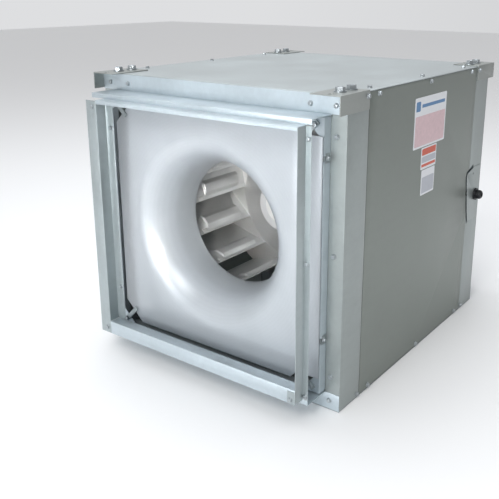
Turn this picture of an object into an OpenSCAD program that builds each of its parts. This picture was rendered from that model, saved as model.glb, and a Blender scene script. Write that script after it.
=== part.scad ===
// Square in-line duct fan: a galvanised cabinet with a spun inlet bell, a backward-inclined
// aluminium wheel on a motor shaft, square duct collars at both ends and two lift-off side panels.
// Millimetres. +Z is up, air flows along +Y, the inlet faces -Y. The origin is the middle of the
// underside of the cabinet.

/* [Cabinet] */
// Width across the corner posts
cab_w = 610; // [590:5:640]
// Height from the underside to the top sheet
cab_h = 610; // [590:5:640]
// Length between the front and rear faces of the posts
cab_l = 660; // [640:5:720]
// Sheet thickness of the cabinet
sheet = 1.5; // [1.2:0.1:2]
// Face width of a corner post on the ends of the cabinet
post_face = 33; // [28:1:34]
// Depth of a corner post on the sides of the cabinet
post_side = 75; // [65:1:90]
// Height of the rails across the ends
rail_face = 35; // [30:1:36]

/* [Corner brackets] */
// Length of a bracket along the cabinet
bracket_l = 101; // [95:1:110]
// How far a bracket reaches past the end of the cabinet
bracket_reach = 28; // [26:1:32]
// Width of the bracket's top leg
bracket_top = 62; // [55:1:70]
// Height of the bracket's side leg
bracket_side = 33; // [28:1:36]
// Thickness of the bracket plate
bracket_t = 2; // [2:0.5:3]
// Diameter of the hanging-rod hole in each bracket
hanger_d = 11; // [9:0.5:12]

/* [Duct collars] */
// Distance from the cabinet end to the collar's stepped-back face
collar_step = 64; // [55:1:70]
// Distance from the cabinet end to the collar's outer face
collar_face = 88; // [80:1:95]
// Half width of the collar's wide shelf
shelf_half = 274; // [272:1:276]
// Clear width of the duct opening between the side webs
duct_w = 496.5; // [480:0.5:500]
// Sideways offset of the duct opening
duct_off_x = 12.2; // [10:0.1:14]
// Height of the duct opening's floor
duct_floor = 73.5; // [70:0.5:80]
// Height of the ledge over the duct opening
duct_roof = 565; // [560:1:566]
// Width of the flange that stands out from the duct opening
flange_w = 30; // [24:1:31]

/* [Inlet bell] */
// Radius where the bell leaves the flat plate
bell_r = 203; // [195:1:215]
// Radius of the throat
throat_r = 135; // [130:1:140]
// Depth of the throat behind the cabinet face
throat_y = 80; // [75:1:84]
// Half width of the square plate
plate_half = 251; // [246:1:256]
// Chamfer on the plate's corners
plate_chamfer = 46; // [40:1:50]
// How far the inlet and outlet frames stand proud of the cabinet ends
frame_proud = 20; // [16:1:24]

/* [Wheel] */
// Outer radius of the wheel
wheel_r = 212; // [206:1:214]
// Radius of the wheel's inlet
eye_r = 142; // [140:1:146]
// Number of blades
blade_count = 12; // [10:1:12]
// Radius of the blades' inner edges
blade_in_r = 145; // [144:1:148]
// Radius of the blades' outer edges
blade_out_r = 208; // [200:1:210]
// Turn from a blade's inner edge to its outer edge, in degrees
blade_sweep = 30; // [26:1:32]
// Depth of the wheel's back plate behind the cabinet face
back_y = 285; // [280:1:290]
// Blade thickness
blade_t = 2; // [1.5:0.5:2.5]

/* [Motor] */
// Radius of the motor casing
motor_r = 82; // [78:1:86]
// Length of the motor casing
motor_l = 140; // [130:1:160]
// Radius of the motor shaft
shaft_r = 9.5; // [9.5:0.5:10]

/* [Wiring entry] */
// Radius of the cable hole through the cord grip
cable_r = 4.5; // [3.5:0.5:5]

/* [Hidden] */
$fn = 64;

galvanised = "#C4CBCC";
galvanised_front = "#D3DBE0";
galvanised_side = "#7F8782";
bell_grey = "#C8D0D8";
wheel_grey = "#B9B2A8";
zinc = "#D8DCDE";
black_plastic = "#15171A";
motor_grey = "#5B6166";
rubber_black = "#222222";
label_white = "#ECEDEF";

half_w = cab_w / 2;
half_l = cab_l / 2;
axis_z = cab_h / 2;
seam = 1.2;
panel_half_l = half_l - post_side - seam;
panel_return = 13.5;
side_rail_w = 30;
side_rail_h = 20;
end_rail_leg = 30;
post_inner = half_w - post_face;

// Screw places on the ends: rail screws and post screws, as x and z, for one quarter.
rail_screw_x = [half_w - 22, half_w - 75];
rail_screw_z = rail_face / 2 + 2;
post_screw_x = half_w - 20.5;
post_screw_z = [70, cab_h / 2 + 10, cab_h - 74];
// Screw places on the sides: distance from the top or bottom edge, and places along Y.
side_screw_edge = 8.5;
side_screw_y = half_l - 66;
panel_screw_y = [-half_l + 110, 2, half_l - 110];
screw_shank_r = 2.4;
screw_grip = 7;
screw_clear_r = 2.8;

bracket_bolt_y = [18, 56];
bracket_bolt_x = half_w - 27;
bolt_r = 4;
bolt_head_r = 9;
bolt_head_h = 7;
washer_r = 11.5;
washer_t = 2;
hanger_x = half_w - 25;
hanger_y = bracket_reach - 14;

frame_half_x = post_inner - 0.5;
frame_half_z = cab_h / 2 - rail_face - 3;
frame_open = 262;
frame_cut = 30;
frame_flange = 28;

duct_left = duct_off_x + 0.8 - duct_w / 2;
duct_right = duct_off_x + 0.8 + duct_w / 2;
tab_w = 16;
tab_top = 70;
flange_foot = duct_floor - flange_w + 0.5;
roof_lip = 8;
step_lip = 10;

bell_depth = throat_y + frame_proud;
plate_return = 14;
bell_lip = 12;
arc_steps = 24;

shroud_y = throat_y + 4;
shroud_rise = 38;
shroud_lip = 6;
shroud_t = 2;
cone_r = 143;
cap_r = 60;
cap_y = back_y - 50;
back_t = 2;
hub_r = 26;
hub_disc_r = 39;
hub_disc_t = 6;
hub_back = 262;
key_w = 5;
first_blade = -25;
tab_l = 14;
rib_gap = 24;
rib_l = 122;
rib_start = 8;
rib_w = 36;
rib_h = 6;

casing_t = 6;
motor_y = back_y + 20;
bell_cap = 20;
stator_in_r = 52;
stator_margin = 25;
air_gap = 0.7;
bearing_r = 23.5;
bearing_in_r = 13;
bearing_w = 14;
ball_r = 3.6;
ball_count = 8;
ball_ring_r = 18.2;
shaft_front = cap_y - 2 - hub_disc_t;
shaft_rear = motor_y + motor_l + bell_cap;

channel_h = 12.5;
channel_w = 44;
channel_x = 130;
isolator_r = 16;
isolator_h = 22;
foot_t = 4;
foot_z = sheet + channel_h + isolator_h;
pedestal_top = axis_z - motor_r - 11;
pedestal_half_w = 110;
pedestal_y = motor_y - 5;
pedestal_l = motor_l + 10;
isolator_y = [pedestal_y + 25, pedestal_y + pedestal_l - 25];
base_t = 4;
base_half_w = 80;
saddle_l = 22;

grip_y = half_l - 30;
grip_z = 295;
grip_thread_r = 9;
wiring_t = 1.2;

label_t = 0.4;

// Radius against depth along a quarter ellipse: it leaves along the axis and ends radially.
function quarter(r_centre, a, y_centre, b) = [for (i = [0 : arc_steps])
    [r_centre - a * cos(90 * i / arc_steps), y_centre + b * sin(90 * i / arc_steps)]];
function reversed(points) = [for (i = [len(points) - 1 : -1 : 0]) points[i]];
// From a blade's inner edge at angle 0 to its outer edge, and that line's length and direction.
blade_run = [blade_out_r * cos(blade_sweep) - blade_in_r, blade_out_r * sin(blade_sweep)];
blade_chord = norm(blade_run);
blade_lean = atan2(blade_run[1], blade_run[0]);

// ---------- placing helpers ----------

// Local y is measured from the front face of the cabinet and grows along the air flow.
module from_front() {
    translate([0, -half_l, 0]) children();
}

// The same parts turned round for the outlet end.
module from_rear() {
    rotate([0, 0, 180]) from_front() children();
}

// A shape drawn round Z stands round the fan's axis, with its z along the air flow.
module about_axis() {
    translate([0, -half_l, axis_z]) rotate([-90, 0, 0]) children();
}

module mirrored_x() {
    children();
    mirror([1, 0, 0]) children();
}

module box(x0, x1, y0, y1, z0, z1) {
    translate([x0, y0, z0]) cube([x1 - x0, y1 - y0, z1 - z0]);
}

// ---------- fasteners ----------

// A hex washer-head sheet screw on the XY plane, its head upwards.
module sheet_screw() {
    cylinder(r = 5.2, h = 1);
    cylinder(r = 4.2, h = 4.2, $fn = 6);
    translate([0, 0, -screw_grip]) cylinder(r = screw_shank_r, h = screw_grip);
}

module sheet_screw_hole(r = screw_shank_r) {
    translate([0, 0, -screw_grip - 1]) cylinder(r = r, h = screw_grip + 2);
}

// Places children at each end-face screw: rails first, then posts.
module at_end_screws() {
    for (x = rail_screw_x, z = [rail_screw_z, cab_h - rail_screw_z])
        mirrored_x() translate([x, -sheet, z]) rotate([90, 0, 0]) children();
    for (z = post_screw_z)
        mirrored_x() translate([post_screw_x, 0, z]) rotate([90, 0, 0]) children();
}

// The upper screws on the sides go through the corner brackets too.
module at_side_screws() {
    for (y = [-side_screw_y, side_screw_y]) {
        mirrored_x() translate([half_w, y, side_screw_edge]) rotate([0, 90, 0]) children();
        mirrored_x() translate([half_w + bracket_t, y, cab_h - side_screw_edge])
            rotate([0, 90, 0]) children();
    }
}

module at_top_screws() {
    for (y = panel_screw_y)
        mirrored_x() translate([half_w - 20, y, cab_h]) children();
}

module at_frame_screws() {
    from_front() at_end_screws() children();
    from_rear() at_end_screws() children();
    at_side_screws() children();
    at_top_screws() children();
}

module at_panel_screws() {
    for (y = panel_screw_y, z = [side_screw_edge, cab_h - side_screw_edge])
        translate([half_w, y, z]) rotate([0, 90, 0]) children();
}

module drilled_for_frame() {
    difference() {
        children();
        at_frame_screws() sheet_screw_hole();
    }
}

module at_bracket_bolts() {
    for (y = bracket_bolt_y) {
        mirrored_x() translate([bracket_bolt_x, y - half_l, cab_h + bracket_t]) children();
        mirrored_x() translate([bracket_bolt_x, half_l - y, cab_h + bracket_t]) children();
    }
}

module bracket_bolt_bores() {
    at_bracket_bolts() translate([0, 0, -20]) cylinder(r = bolt_r, h = 30);
}

module frame_screws() {
    color(zinc) at_frame_screws() sheet_screw();
}

module bracket_bolts() {
    color(zinc) at_bracket_bolts() {
        translate([0, 0, washer_t]) cylinder(r = bolt_head_r, h = bolt_head_h, $fn = 6);
        translate([0, 0, -12]) cylinder(r = bolt_r, h = 12 + washer_t + 1);
    }
}

module bracket_washers() {
    color(zinc) at_bracket_bolts() difference() {
        cylinder(r = washer_r, h = washer_t);
        translate([0, 0, -1]) cylinder(r = bolt_r, h = washer_t + 2);
    }
}

// ---------- cabinet ----------

module flat_sheet(z) {
    box(-half_w, half_w, -half_l - sheet, half_l + sheet, z, z + sheet);
}

module bottom_panel() {
    color(galvanised) flat_sheet(0);
}

module top_panel() {
    color(galvanised) difference() {
        flat_sheet(cab_h - sheet);
        bracket_bolt_bores();
        at_top_screws() sheet_screw_hole();
    }
}

// The front right post: an angle with a leg on the end and a leg on the side.
module post() {
    color(galvanised_side) drilled_for_frame() from_front() {
        box(post_inner, half_w, 0, sheet, sheet, cab_h - sheet);
        box(half_w - sheet, half_w, 0, post_side, sheet, cab_h - sheet);
    }
}

module post_front_right() {
    post();
}

module post_front_left() {
    mirror([1, 0, 0]) post();
}

module post_rear_left() {
    rotate([0, 0, 180]) post();
}

module post_rear_right() {
    difference() {
        mirror([0, 1, 0]) post();
        wiring_recess();
        translate([half_w, grip_y, grip_z]) rotate([0, 90, 0])
            cylinder(r = grip_thread_r, h = 20, center = true);
    }
}

// An angle across one end: the face and a leg that lies against the top or bottom sheet.
module end_rail(top) {
    face_z = top ? cab_h - rail_face : sheet;
    leg_z = top ? cab_h - 2 * sheet : sheet;
    color(galvanised_front) difference() {
        from_front() {
            box(-half_w, half_w, -sheet, 0, face_z, face_z + rail_face - sheet);
            box(-post_inner + 1, post_inner - 1, 0, end_rail_leg, leg_z, leg_z + sheet);
        }
        from_front() at_end_screws() sheet_screw_hole();
    }
}

module rail_front_top() {
    end_rail(true);
}

module rail_front_bottom() {
    end_rail(false);
}

module rail_rear_top() {
    rotate([0, 0, 180]) end_rail(true);
}

module rail_rear_bottom() {
    rotate([0, 0, 180]) end_rail(false);
}

// Angles along the four long edges, behind the access panels.
module side_rails() {
    reach = half_l - 4;
    outer = half_w - sheet;
    color(galvanised) difference() {
        for (top = [false, true]) {
            leg_z = top ? cab_h - 2 * sheet : sheet;
            web_z = top ? cab_h - sheet - side_rail_h : sheet;
            mirrored_x() {
                box(outer - side_rail_w, outer, -reach, reach, leg_z, leg_z + sheet);
                box(outer - sheet, outer, -reach, reach, web_z, web_z + side_rail_h);
            }
        }
        bracket_bolt_bores();
        at_frame_screws() sheet_screw_hole();
        mirrored_x() at_panel_screws() sheet_screw_hole(screw_clear_r);
    }
}

// ---------- corner brackets ----------

module bracket() {
    color(galvanised) difference() {
        from_front() {
            box(half_w + bracket_t - bracket_top, half_w + bracket_t, -bracket_reach, bracket_l - bracket_reach,
                cab_h, cab_h + bracket_t);
            box(half_w, half_w + bracket_t, -bracket_reach, bracket_l - bracket_reach,
                cab_h - bracket_side, cab_h + bracket_t);
        }
        bracket_bolt_bores();
        from_front() translate([hanger_x, -hanger_y, cab_h - 1]) cylinder(d = hanger_d, h = bracket_t + 2);
        at_side_screws() sheet_screw_hole();
    }
}

module bracket_front_right() {
    bracket();
}

module bracket_front_left() {
    mirror([1, 0, 0]) bracket();
}

module bracket_rear_left() {
    rotate([0, 0, 180]) bracket();
}

module bracket_rear_right() {
    mirror([0, 1, 0]) bracket();
}

// ---------- inlet and outlet frames ----------

// A square with cut corners, given by its half width and the length cut off each side.
module octagon(half, cut) {
    inner = half - cut;
    polygon([[inner, half], [-inner, half], [-half, inner], [-half, -inner],
        [-inner, -half], [inner, -half], [half, -inner], [half, inner]]);
}

// A square picture frame that stands proud of the cabinet end, with flanges behind the posts.
module end_frame() {
    depth = frame_proud + 2 * sheet;
    color(galvanised_front) drilled_for_frame() from_front() {
        difference() {
            translate([-frame_half_x, -frame_proud, axis_z - frame_half_z])
                cube([2 * frame_half_x, depth, 2 * frame_half_z]);
            translate([-frame_half_x + sheet, -frame_proud + sheet, axis_z - frame_half_z + sheet])
                cube([2 * (frame_half_x - sheet), depth, 2 * (frame_half_z - sheet)]);
            translate([0, -frame_proud - 1, axis_z]) rotate([-90, 0, 0])
                linear_extrude(depth) octagon(frame_open, frame_cut);
        }
        mirrored_x() box(frame_half_x, frame_half_x + frame_flange, sheet, 2 * sheet,
            axis_z - frame_half_z, axis_z + frame_half_z);
    }
}

module inlet_frame() {
    difference() {
        end_frame();
        at_plate_corners(strap_start + strap_bolt) cylinder(r = 3, h = 12, center = true);
    }
}

module outlet_frame() {
    rotate([0, 0, 180]) end_frame();
}

// ---------- inlet bell ----------

// Radius against depth: the air side from the throat to the plate, and back along the outer skin.
module bell_section() {
    a = bell_r - throat_r;
    lip = throat_y + bell_lip;
    air = quarter(bell_r, a, throat_y, -bell_depth - sheet);
    skin = quarter(bell_r, a - sheet, throat_y, -bell_depth);
    seat = [[bell_r + 1, -frame_proud - sheet], [bell_r + 1, -frame_proud]];
    polygon(concat([[throat_r, lip]], air, seat, reversed(skin), [[throat_r + sheet, lip]]));
}

// The spun bell and its flat plate, whose whole edge is turned back.
module inlet_venturi() {
    color(bell_grey) about_axis() {
        translate([0, 0, -frame_proud - sheet]) {
            linear_extrude(sheet) difference() {
                octagon(plate_half, plate_chamfer);
                circle(r = bell_r, $fn = 128);
            }
            linear_extrude(plate_return) difference() {
                octagon(plate_half, plate_chamfer);
                octagon(plate_half - sheet, plate_chamfer - (2 - sqrt(2)) * sheet);
            }
        }
        rotate_extrude($fn = 128) bell_section();
    }
}

// Distances along a diagonal, from the axis to the plate's cut corner and to the corner strap.
cut_reach = (plate_half - plate_chamfer / 2) * sqrt(2);
strap_start = cut_reach - 10;
strap_l = 54;
strap_w = 10;
strap_t = 2;
strap_rest = strap_l - 14;
strap_bolt = strap_l - 8;

module at_plate_corners(reach) {
    about_axis() for (q = [0 : 3])
        rotate([0, 0, 45 + 90 * q]) translate([reach, 0, -frame_proud - sheet]) mirror([0, 0, 1]) children();
}

// Small straps from the plate's cut corners to the corners of the frame, which they step down to.
module venturi_clips() {
    color(zinc) at_plate_corners(strap_start) difference() {
        union() {
            translate([0, -strap_w / 2, 0]) cube([strap_l, strap_w, strap_t]);
            translate([strap_rest, -strap_w / 2, -sheet]) cube([strap_l - strap_rest, strap_w, strap_t]);
        }
        translate([strap_bolt, 0, -sheet - 1]) cylinder(r = 3, h = 6);
    }
}

module venturi_bolts() {
    color(zinc) at_plate_corners(strap_start) translate([strap_bolt, 0, 0]) {
        translate([0, 0, 2]) cylinder(r = 6, h = 4.5, $fn = 6);
        translate([0, 0, -2 * sheet]) cylinder(r = 3, h = 6);
    }
}

// ---------- duct collars ----------

// Lays a section drawn in (y, z) across the cabinet from x0 to x1.
module across(x0, x1) {
    translate([x0, 0, 0]) rotate([90, 0, 90]) linear_extrude(x1 - x0) children();
}

module collar_top() {
    color(galvanised_front) drilled_for_collar() {
        shelf = cab_h - rail_face;
        across(-shelf_half, shelf_half) polygon([[0, shelf - sheet], [0, shelf], [-collar_step, shelf],
            [-collar_step, duct_roof], [-collar_step + sheet, duct_roof], [-collar_step + sheet, shelf - sheet]]);
        box(duct_left - sheet, duct_right + sheet, -collar_face, -collar_step + sheet, duct_roof - sheet, duct_roof);
        box(duct_left, duct_right, -collar_face, -collar_face + sheet, duct_roof - roof_lip, duct_roof);
    }
}

module collar_bottom() {
    foot = rail_face + step_lip;
    color(galvanised_front) drilled_for_collar() {
        across(-shelf_half, shelf_half) polygon([[0, rail_face], [0, rail_face + sheet],
            [-collar_step + sheet, rail_face + sheet], [-collar_step + sheet, foot], [-collar_step, foot],
            [-collar_step, rail_face]]);
        across(duct_left, duct_right) polygon([[-collar_step, foot], [-collar_step + sheet, foot],
            [-collar_step + sheet, duct_floor], [-collar_face, duct_floor], [-collar_face, flange_foot],
            [-collar_face + sheet, flange_foot], [-collar_face + sheet, duct_floor - sheet],
            [-collar_step, duct_floor - sheet]]);
    }
}

module collar_left() {
    color(galvanised_side) drilled_for_collar() {
        top = duct_roof - sheet;
        outer = duct_left - sheet;
        box(duct_left - flange_w, duct_left, -collar_face, -collar_face + sheet, flange_foot, top);
        box(outer, duct_left, -collar_face, -collar_step, duct_floor, top);
        box(outer, duct_left + 21, -collar_step, -collar_step + sheet, duct_floor, top);
    }
}

module collar_right() {
    color(galvanised_side) drilled_for_collar() {
        top = duct_roof - sheet;
        outer = duct_right + sheet;
        box(duct_right, outer, -collar_face, -collar_step, flange_foot, top);
        box(duct_right, shelf_half, -collar_step, -collar_step + sheet, rail_face + step_lip, top);
        box(duct_right - tab_w, outer, -collar_face - sheet, -collar_face, flange_foot, tab_top);
    }
}

// Screw places on the collar's front-facing flanges, as x, y and z.
collar_screw_places = [
    [duct_right + 7, -collar_step, 52],
    [duct_right + 7, -collar_step, cab_h / 2 + 12],
    [duct_right + 7, -collar_step, duct_roof - 24],
    [duct_left + 14, -collar_step, duct_floor + 79],
    [duct_left + 14, -collar_step, duct_roof - 59],
    [duct_right - 9, -collar_face - sheet, flange_foot + 9],
    [duct_left - 10, -collar_face, flange_foot + 13],
    [duct_left - 10, -collar_face, duct_roof - 14]];

module at_collar_screws() {
    for (p = collar_screw_places)
        translate(p) rotate([90, 0, 0]) children();
}

module drilled_for_collar() {
    difference() {
        children();
        at_collar_screws() sheet_screw_hole();
    }
}

module inlet_collar_top() {
    from_front() collar_top();
}

module inlet_collar_bottom() {
    from_front() collar_bottom();
}

module inlet_collar_left() {
    from_front() collar_left();
}

module inlet_collar_right() {
    from_front() collar_right();
}

module outlet_collar_top() {
    from_rear() collar_top();
}

module outlet_collar_bottom() {
    from_rear() collar_bottom();
}

module outlet_collar_left() {
    from_rear() collar_left();
}

module outlet_collar_right() {
    from_rear() collar_right();
}

module collar_screws() {
    color(zinc) {
        from_front() at_collar_screws() sheet_screw();
        from_rear() at_collar_screws() sheet_screw();
    }
}

// ---------- wiring entry ----------

// The opening that the cover plate leaves along its front edge, cut in the post and the panel.
module wiring_recess() {
    opening = [[half_l - 60, 236], [half_l - 69, 226], [half_l - 79, 262], [half_l - 95, 350],
        [half_l - 90, 361], [half_l - 50, 374], [half_l - 50, 350]];
    translate([half_w - 20, 0, 0]) rotate([90, 0, 90]) linear_extrude(22) polygon(opening);
}

// Cover plate on the rear right post, its front edge bowed out past the seam.
module wiring_plate() {
    outline = [[half_l - 8, 232], [half_l - 66, 232], [half_l - 74, 262], [half_l - 89, 350],
        [half_l - 86, 357], [half_l - 46, 367], [half_l - 8, 367]];
    color(galvanised_side) difference() {
        translate([half_w, 0, 0]) rotate([90, 0, 90]) linear_extrude(wiring_t) polygon(outline);
        translate([half_w - 1, grip_y, grip_z]) rotate([0, 90, 0]) cylinder(r = grip_thread_r, h = 5);
        translate([half_w - 1, half_l - 51, 351]) rotate([0, 90, 0]) cylinder(r = 2.5, h = 5);
    }
}

module along_grip(offset) {
    translate([half_w + wiring_t + offset, grip_y, grip_z]) rotate([0, 90, 0]) children();
}

module cord_grip_body() {
    color(black_plastic) along_grip(0) difference() {
        union() {
            cylinder(r = 14.5, h = 5);
            translate([0, 0, -20]) cylinder(r = grip_thread_r, h = 20);
            cylinder(r = 8.2, h = 12);
            translate([0, 0, -8]) cylinder(r = 13.5, h = 5.3, $fn = 6);
        }
        translate([0, 0, -21]) cylinder(r = cable_r, h = 40);
        translate([0, 0, 7]) cylinder(r = 7, h = 10);
    }
}

module cord_grip_nut() {
    color(black_plastic) along_grip(5) difference() {
        cylinder(r = 11, h = 14);
        translate([0, 0, -1]) cylinder(r = 8.2, h = 8.2);
        cylinder(r = cable_r + 0.5, h = 20);
    }
}

module cord_grip_seal() {
    color(rubber_black) along_grip(7) difference() {
        cylinder(r = 7, h = 5);
        translate([0, 0, -1]) cylinder(r = cable_r, h = 7);
    }
}

// ---------- motor support ----------

module floor_channels() {
    reach = half_l - 4;
    color(galvanised) mirrored_x() difference() {
        box(channel_x - channel_w / 2, channel_x + channel_w / 2, -reach + end_rail_leg, reach - end_rail_leg,
            sheet, sheet + channel_h);
        box(channel_x - channel_w / 2 + 2, channel_x + channel_w / 2 - 2, -reach, reach,
            sheet - 1, sheet + channel_h - 2);
    }
}

module at_isolators() {
    for (y = isolator_y)
        mirrored_x() translate([channel_x, y - half_l, 0]) children();
}

module isolators() {
    color(rubber_black) at_isolators() translate([0, 0, sheet + channel_h]) difference() {
        cylinder(r = isolator_r, h = isolator_h);
        translate([0, 0, isolator_h - 10]) cylinder(r = bolt_r, h = 11);
    }
}

// A folded stand: a top plate, two slotted legs and outturned feet.
module motor_pedestal() {
    color(galvanised) difference() {
        from_front() {
            box(-pedestal_half_w, pedestal_half_w, pedestal_y, pedestal_y + pedestal_l,
                pedestal_top - foot_t, pedestal_top);
            mirrored_x() {
                box(pedestal_half_w - foot_t, pedestal_half_w, pedestal_y, pedestal_y + pedestal_l,
                    foot_z, pedestal_top);
                box(pedestal_half_w, pedestal_half_w + 42, pedestal_y, pedestal_y + pedestal_l,
                    foot_z, foot_z + foot_t);
            }
        }
        from_front() box(-200, 200, pedestal_y + 40, pedestal_y + pedestal_l - 40, foot_z + 40, pedestal_top - 40);
        at_isolators() cylinder(r = bolt_r, h = foot_z + 10);
        at_base_bolts() translate([0, 0, -20]) cylinder(r = bolt_r, h = 40);
    }
}

module at_base_bolts() {
    for (y = [pedestal_y + 18, pedestal_y + pedestal_l - 18])
        mirrored_x() translate([base_half_w - 12, y - half_l, pedestal_top + base_t]) children();
}

// A plate with two saddles that cradle the casing.
module motor_base() {
    color(motor_grey) difference() {
        from_front() {
            box(-base_half_w, base_half_w, pedestal_y, pedestal_y + pedestal_l, pedestal_top, pedestal_top + base_t);
            for (y = [pedestal_y + 30, pedestal_y + pedestal_l - 30 - saddle_l])
                box(-50, 50, y, y + saddle_l, pedestal_top + base_t, axis_z - motor_r + 22);
        }
        about_axis() cylinder(r = motor_r, h = cab_l);
        at_base_bolts() translate([0, 0, -20]) cylinder(r = bolt_r, h = 40);
    }
}

module motor_bolts() {
    color(zinc) {
        at_base_bolts() {
            cylinder(r = bolt_head_r, h = bolt_head_h, $fn = 6);
            translate([0, 0, -12]) cylinder(r = bolt_r, h = 13);
        }
        at_isolators() translate([0, 0, foot_z + foot_t]) {
            cylinder(r = bolt_head_r, h = bolt_head_h, $fn = 6);
            translate([0, 0, -12]) cylinder(r = bolt_r, h = 13);
        }
    }
}

// ---------- motor ----------

module ring(r_in, r_out, y0, y1) {
    translate([0, 0, y0]) difference() {
        cylinder(r = r_out, h = y1 - y0);
        translate([0, 0, -1]) cylinder(r = r_in, h = y1 - y0 + 2);
    }
}

// Fins all round the casing but for the part that lies in the saddles.
fin_angles = [for (a = [15 : 30 : 345]) if (abs(a - 90) > 40) a];

module motor_casing() {
    color(motor_grey) about_axis() {
        ring(motor_r - casing_t, motor_r, motor_y, motor_y + motor_l);
        for (a = fin_angles)
            rotate([0, 0, a]) translate([motor_r - 1, -1.5, motor_y + 10]) cube([6, 3, motor_l - 20]);
    }
}

module motor_stator() {
    core_y = motor_y + stator_margin;
    core_end = motor_y + motor_l - stator_margin;
    color("#8C6A4A") about_axis() {
        ring(stator_in_r, motor_r - casing_t, core_y, core_end);
        ring(stator_in_r + 3, motor_r - casing_t - 4, core_y - 15, core_y);
        ring(stator_in_r + 3, motor_r - casing_t - 4, core_end, core_end + 15);
    }
}

// An end bell: a disc that closes the casing and holds a bearing in its boss.
module end_bell() {
    difference() {
        union() {
            cylinder(r = motor_r, h = bell_cap);
            translate([0, 0, -6]) cylinder(r = 34, h = 8);
        }
        translate([0, 0, 6]) cylinder(r = motor_r - casing_t - 1, h = bell_cap);
        translate([0, 0, -10]) cylinder(r = bearing_in_r + 3, h = 40);
        translate([0, 0, -2]) cylinder(r = bearing_r, h = bearing_w);
    }
    ring(bearing_r, bearing_r + 6, 5, bearing_w - 2);
}

module motor_front_bell() {
    color(motor_grey) about_axis() translate([0, 0, motor_y - bell_cap]) end_bell();
}

module motor_rear_bell() {
    color(motor_grey) about_axis()
        translate([0, 0, motor_y + motor_l + bell_cap]) mirror([0, 0, 1]) end_bell();
}

// Both bearings, given as the depth of each one's front face.
bearing_ys = [motor_y - bell_cap - 2, motor_y + motor_l + bell_cap + 2 - bearing_w];

module bearing_outer_rings() {
    color("#9AA0A4") about_axis() for (y = bearing_ys)
        difference() {
            ring(bearing_r - 3.5, bearing_r, y, y + bearing_w);
            translate([0, 0, y + bearing_w / 2])
                rotate_extrude() translate([ball_ring_r, 0]) circle(r = ball_r + 0.15);
        }
}

module bearing_inner_rings() {
    color("#9AA0A4") about_axis() for (y = bearing_ys) {
        difference() {
            ring(shaft_r, bearing_in_r + 3, y, y + bearing_w);
            translate([0, 0, y + bearing_w / 2]) rotate_extrude() translate([ball_ring_r, 0]) circle(r = ball_r);
        }
        for (k = [0 : ball_count - 1])
            rotate([0, 0, 360 * k / ball_count]) translate([ball_ring_r, 0, y + bearing_w / 2])
                sphere(r = ball_r - 0.15, $fn = 24);
    }
}

module motor_shaft() {
    color("#A8ADB0") about_axis() difference() {
        translate([0, 0, shaft_front]) cylinder(r = shaft_r, h = shaft_rear - shaft_front);
        translate([-key_w / 2, shaft_r - 2.5, shaft_front - 1]) cube([key_w, 10, hub_back - shaft_front + 1]);
    }
}

module motor_rotor() {
    color("#7C8084") about_axis()
        ring(shaft_r, stator_in_r - air_gap, motor_y + stator_margin - 2, motor_y + motor_l - stator_margin + 2);
}

// ---------- wheel ----------

// A flat rim, a cone that reaches forward into the wheel, and a flat cap that the hub is fixed to.
module wheel_backplate() {
    front = [[hub_r, cap_y - back_t], [cap_r, cap_y - back_t], [cone_r, back_y - back_t], [wheel_r, back_y - back_t]];
    rear = [[wheel_r, back_y], [cone_r - 0.7, back_y], [cap_r - 0.7, cap_y], [hub_r, cap_y]];
    color(wheel_grey) difference() {
        about_axis() rotate_extrude($fn = 128) polygon(concat(front, rear));
        at_back_rivets() cylinder(r = 2.4, h = 20, center = true);
    }
}

// The shroud's air side.
shroud_air = quarter(wheel_r, wheel_r - eye_r, shroud_y, shroud_rise);

module wheel_shroud() {
    skin = quarter(wheel_r, wheel_r - eye_r - shroud_t, shroud_y, shroud_rise - shroud_t);
    lip_y = shroud_y - shroud_lip;
    color(wheel_grey) difference() {
        about_axis() rotate_extrude($fn = 128)
            polygon(concat([[eye_r, lip_y]], shroud_air, reversed(skin), [[eye_r + shroud_t, lip_y]]));
        at_front_rivets() cylinder(r = 2.4, h = 20, center = true);
    }
}

// The room between the shroud and the back plate, which a blade fills.
module blade_room() {
    rotate_extrude($fn = 128) polygon(concat([[eye_r - 8, shroud_y]], shroud_air, [[wheel_r, back_y - back_t],
        [cone_r, back_y - back_t], [eye_r - 8, back_y - back_t - 6]]));
}

module each_blade() {
    about_axis() for (k = [0 : blade_count - 1])
        rotate([0, 0, first_blade + 360 * k / blade_count]) children();
}

// One blade: its pressed rib faces the axis, and its tab lies on the back plate behind it.
module blade() {
    span = back_y - back_t - shroud_y;
    intersection() {
        blade_room();
        translate([blade_in_r, 0, shroud_y]) rotate([0, 0, blade_lean]) {
            translate([0, -blade_t, 0]) cube([blade_chord, blade_t, span]);
            translate([rib_start, 0, span - rib_gap - rib_l]) linear_extrude(rib_l)
                polygon([[0, -1], [0, 0], [rib_w / 4, rib_h], [rib_w * 3 / 4, rib_h], [rib_w, 0], [rib_w, -1]]);
            translate([tab_l, -blade_t - tab_l, span - back_t])
                cube([blade_chord - 2 * tab_l, tab_l + 1, back_t]);
        }
    }
}

module wheel_blades() {
    color(wheel_grey) difference() {
        each_blade() blade();
        at_back_rivets() cylinder(r = 2.4, h = 20, center = true);
        at_front_rivets() cylinder(r = 2.4, h = 20, center = true);
    }
}

// Two rivets through each blade's back tab.
module at_back_rivets() {
    each_blade() translate([blade_in_r, 0, back_y]) rotate([0, 0, blade_lean])
        for (along = [30, 74])
            translate([along, -blade_t - tab_l / 2, 0]) children();
}

// One rivet through the shroud's rim in front of each blade.
module at_front_rivets() {
    each_blade() rotate([0, 0, blade_sweep - 6])
        translate([wheel_r - 8, 0, shroud_y + shroud_rise - 1.6]) children();
}

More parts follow.
